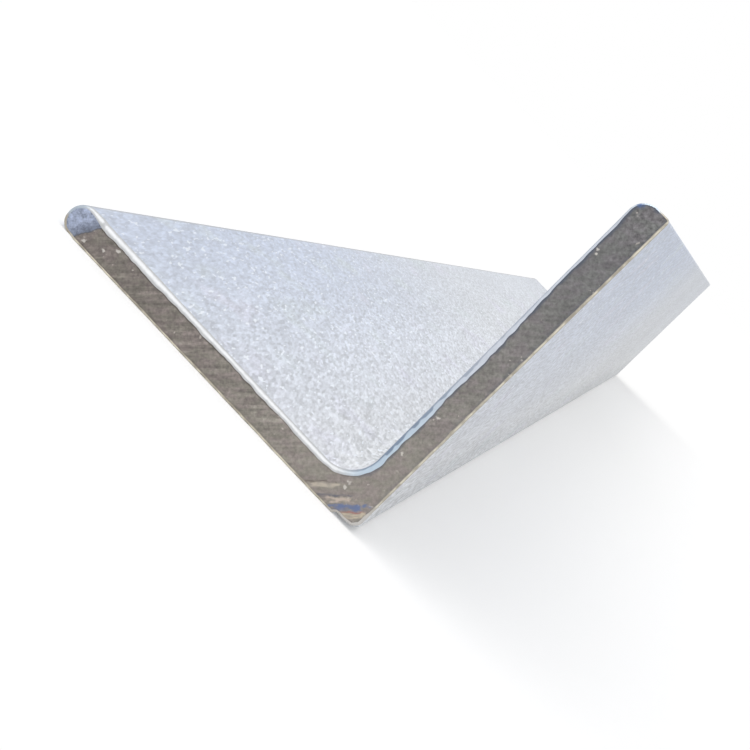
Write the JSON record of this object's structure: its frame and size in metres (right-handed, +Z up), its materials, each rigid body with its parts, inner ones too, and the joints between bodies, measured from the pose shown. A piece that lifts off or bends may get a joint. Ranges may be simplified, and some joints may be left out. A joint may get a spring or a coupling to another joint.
{
  "type": "metal angle section",
  "caption": "Hot-rolled equal-leg steel angle bar with a filleted root, rounded toes and square sawn ends.",
  "frame": {"origin": "middle of the bar's length and width, on the floor plane that the lying leg rests on", "axes": "+Y along the bar's length, +Z up along the standing leg, +X from the lying leg's toe towards the heel"},
  "size_m": [0.1, 1, 0.1],
  "materials": {
    "steel": "bright silvery rolled skin with a fine sparkling grain; sawn ends brown-grey with fine saw lines"
  },
  "bodies": {
    "root": {"angle_section": "steel"}
  },
  "joints": []
}
